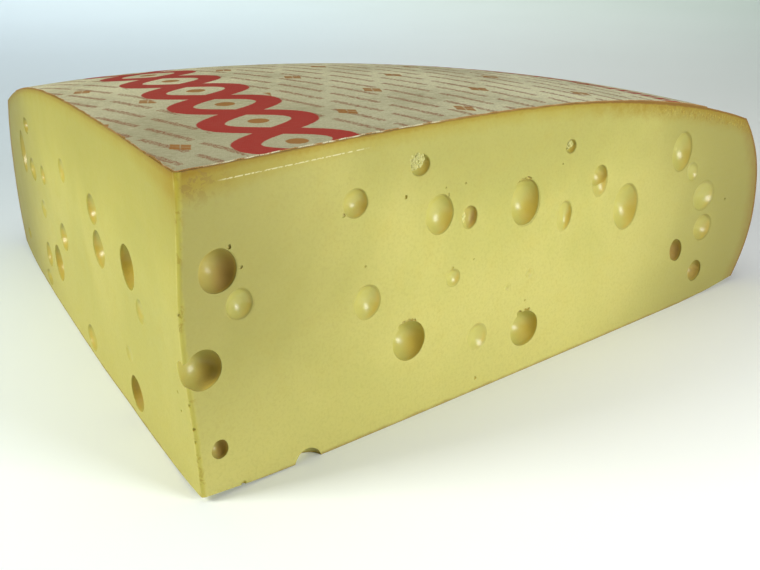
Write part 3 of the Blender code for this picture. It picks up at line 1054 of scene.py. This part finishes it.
def makeCoverFinish():
    colours = coverSettings
    design = printSettings
    finish = Finish("coverSheet", {"Specular IOR Level": 0.06})
    fade, fall, mix, lay = finish.fade, finish.fall, finish.mix, finish.lay
    where = finish.place()
    x, y, z = finish.axes(where)
    back = y - apexY

    def turned(angle):
        u = x * math.cos(angle) + back * math.sin(angle)
        v = back * math.cos(angle) - x * math.sin(angle)
        return u, v

    # the cloth-like ground
    warp, weft = turned(design["threadAngle"])
    thread = 2 * math.pi / design["threadPitch"]
    over = finish.maths("SINE", warp * thread) * finish.maths("SINE", weft * thread)
    fibre = finish.noise(finish.point(warp, weft * 5.0), 0.006, 3.0, 0.6)
    shade = finish.noise(where, 0.05, 3.0, 0.55)
    shade = fade(shade * 0.5 + fibre * 0.5, 0.25, 0.6)
    finish.body = mix(shade, colours["linenDark"], colours["linen"])
    speckle = fade(finish.noise(where, 0.0012, 2.0, 0.7), 0.45, 0.65)
    lay(over * 0.5 + 0.06 + speckle * 0.45, colours["linenDark"])
    reach = finish.maths("SQRT", x * x + back * back)
    # the sheet is painted darker towards the near corner: painted shade
    lay(fade(reach, 20 * mm, 270 * mm, 0.6, 0.0), colours["linenNearShade"])

    # thin broken lines in slanting rows
    rough = finish.noise(where, 0.0015, 3.0, 0.7) - 0.5
    u, v = turned(design["slant"])
    rowNumber = finish.maths("FLOOR", v / design["linePitch"])
    acrossRow = abs(finish.wave(v, design["linePitch"]) - 0.5) * design["linePitch"]
    shifted = u + rowNumber * (design["dashPitch"] * 0.37)
    inDash = finish.wave(shifted, design["dashPitch"])
    thin = fall(acrossRow + rough * 0.0042, design["lineHalf"] * 0.8, design["lineHalf"] * 1.3)
    thin = thin * fade(finish.noise(where, 0.0013, 2.0, 0.7), 0.38, 0.56, 0.2, 1.0)
    dash = thin * fall(inDash, design["dashShare"], design["dashShare"] + 0.01)

    # small ochre gems between the rows
    pitchU, pitchV = design["gemPitch"]
    gemRow = finish.maths("FLOOR", v / pitchV)
    offset = finish.maths("MODULO", gemRow, 2.0) * (pitchU / 2)
    du = abs(finish.wave(u + offset, pitchU) - 0.5) * (pitchU / design["gemSize"][0])
    dv = abs(finish.wave(v, pitchV) - 0.5) * (pitchV / design["gemSize"][1])
    gem = fall(du + dv + rough * 0.25, 0.96, 1.08)
    hole = fall(abs(du - dv) + rough * 0.2, 0.04, 0.1) * 0.6
    gem = gem * (1 - hole)

    # a bold two-strand braid along the left cut
    along, outward = cutFrame(-1)
    run = x * along.x + back * along.y
    across = x * -outward.x + back * -outward.y - design["braidOffset"]
    wide, length, half = [design[name] for name in ("braidSwing", "braidLength", "braidHalf")]
    phase = run * (2 * math.pi / length)
    swing = finish.maths("SINE", phase) * wide
    slope = finish.maths("COSINE", phase) * (wide * 2 * math.pi / length)
    steep = finish.maths("SQRT", slope * slope + 1)
    strands = finish.lower(abs(across - swing), abs(across + swing)) / steep
    braid = fall(strands + rough * 0.0012, half * 0.94, half * 1.05)
    middle = abs(finish.wave(run, length / 2) - 0.5) * (length / 2)
    bead = finish.maths("SQRT", middle * middle + across * across)
    beads = fall(bead + rough * 0.001, design["beadSize"] * 0.9, design["beadSize"] * 1.05)

    # a ring of short red strokes near the rim
    angle = finish.maths("ARCTAN2", x, back)
    stroke = fall(abs(reach - design["ringRadius"]) + rough * 0.0015, design["ringHalf"] * 0.9,
                  design["ringHalf"] * 1.1)
    stroke = stroke * fall(abs(finish.wave(angle, design["ringPitch"]) - 0.5), 0.32, 0.37)

    clear = 1 - fall(abs(across), wide + 0.004, wide + 0.006)
    worn = 0.88 + fibre * 0.12
    lay(dash * clear * (0.78 + over * 0.12), colours["brown"])
    lay(gem * clear * 0.9, colours["ochre"])
    lay(finish.higher(braid, stroke) * worn, colours["red"])
    lay(beads * 0.9, colours["ochre"])

    # the cut edge of the sheet is bare paper
    edge = finish.attribute("paperEdge")
    frontNear = fade(x, 4 * mm, 12 * mm) * fall(x, 78 * mm, 95 * mm)
    bared = fade(finish.noise(where, 0.006, 3.0, 0.6), 0.42, 0.6) * frontNear
    lay(edge, mix(bared, colours["edgeStain"], colours["paperEdge"]))
    share = run / outerRadius
    inward = across + design["braidOffset"] + share * (1 - share) * (4 * wheel["leftBow"])
    frayed = fade(finish.noise(where, 0.007, 3.0, 0.7), 0.42, 0.62)
    rim = fall(inward + rough * 0.003, 0.1 * mm, 1.2 * mm) * frayed
    lay(rim * 0.5, colours["edgeStain"])
    relief = over * 0.5 + fibre * 0.9 + finish.noise(where, 0.0009, 2.0) * 0.4
    normal = finish.bump(relief, 0.0005, 0.9)
    return finish.feed(roughness=0.86 - finish.higher(braid, gem) * 0.1, normal=normal)


def makeCover():
    report("laying the cover")
    cover = addPiece("coverSheet", makeCoverBlank(), makeCoverFinish())
    trim(cover, makeCoverKnife())
    mesh = cover.data
    upright = [abs(face.normal.z) < 0.5 for face in mesh.polygons]
    layer = mesh.attributes.new("paperEdge", "FLOAT", "FACE")
    layer.data.foreach_set("value", [1.0 if side else 0.0 for side in upright])
    smoothShade(cover, 35)
    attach(cover, "root")
    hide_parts("printed_cover")
    report(f"cover has {len(mesh.polygons)} faces")


curdSettings = {
    # torn curd in eyes: side, distance, height, half sizes across and up, how deep it sits, crumbs
    "plugs": [
        (1, 119.7, 125.8, 5.5, 4.8, -0.3, 80), (1, 224.6, 115.2, 2.7, 2.2, 0.2, 16),
        (1, 150.9, 92.0, 2.4, 4.6, 1.9, 10), (-1, 333.0, 84.0, 2.6, 5.0, 1.0, 20),
        (-1, 336.0, 74.0, 2.2, 5.0, 1.2, 18), (-1, 309.5, 97.0, 3.0, 2.4, 1.0, 14),
    ],
    "thickness": 2.4, "roughness": 0.22, "grain": 0.5, "crumbSize": (0.45, 1.05),
}


def tornLump(halfSizes, level, seed):
    # an uneven lump in millimetres, its shape set by the seed
    lump = bmesh.new()
    bmesh.ops.create_icosphere(lump, subdivisions=level, radius=1.0)
    for vert in lump.verts:
        place = vert.co / curdSettings["grain"] + Vector((seed * 7.1, seed, 0))
        push = noise.fractal(place, 0.8, 2.0, 3)
        vert.co *= 1 + curdSettings["roughness"] * push
    bmesh.ops.scale(lump, verts=lump.verts, vec=halfSizes)
    return lump


def makeCurds():
    report("tearing the curd")
    settings = curdSettings
    builder = bmesh.new()
    scatter = random.Random(11)

    def keep(lump, side, distance, up, offset):
        bmesh.ops.scale(lump, verts=lump.verts, vec=(mm, mm, mm))
        move(lump, Vector(offset) * mm)
        placeOnCut(lump, side, distance * mm, up * mm)
        turnOut(lump)
        settle(lump)
        mesh = bpy.data.meshes.new("lump")
        lump.to_mesh(mesh)
        lump.free()
        builder.from_mesh(mesh)
        bpy.data.meshes.remove(mesh)

    for index, (side, distance, up, wide, high, sink, crumbs) in enumerate(settings["plugs"]):
        thick = settings["thickness"]
        keep(tornLump((wide, high, thick), 4, index + 1), side, distance, up, (0, 0, -sink - thick))
        for crumb in range(crumbs):
            turn, share = scatter.uniform(0, 2 * math.pi), math.sqrt(scatter.uniform(0, 0.85))
            size = scatter.uniform(*settings["crumbSize"])
            level = thick * math.sqrt(1 - share * share) - thick - sink
            place = (wide * share * math.cos(turn), high * share * math.sin(turn), level - size * 0.25)
            shape = [size * scatter.uniform(0.7, 1.2) for axis in range(3)]
            keep(tornLump(shape, 2, index * 100 + crumb), side, distance, up, place)
    curds = addPiece("tornCurd", builder, bpy.data.materials["cheesePaste"])
    count = len(curds.data.vertices)
    storeShades(curds, [[float(name == "crumb")] * count for name in shadeNames])
    smoothShade(curds, 60)
    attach(curds, "root")


makeCamera()
makeLights()
makeStage()
report("camera, lights and stage stand")
makeCheese()
makeCover()
makeCurds()
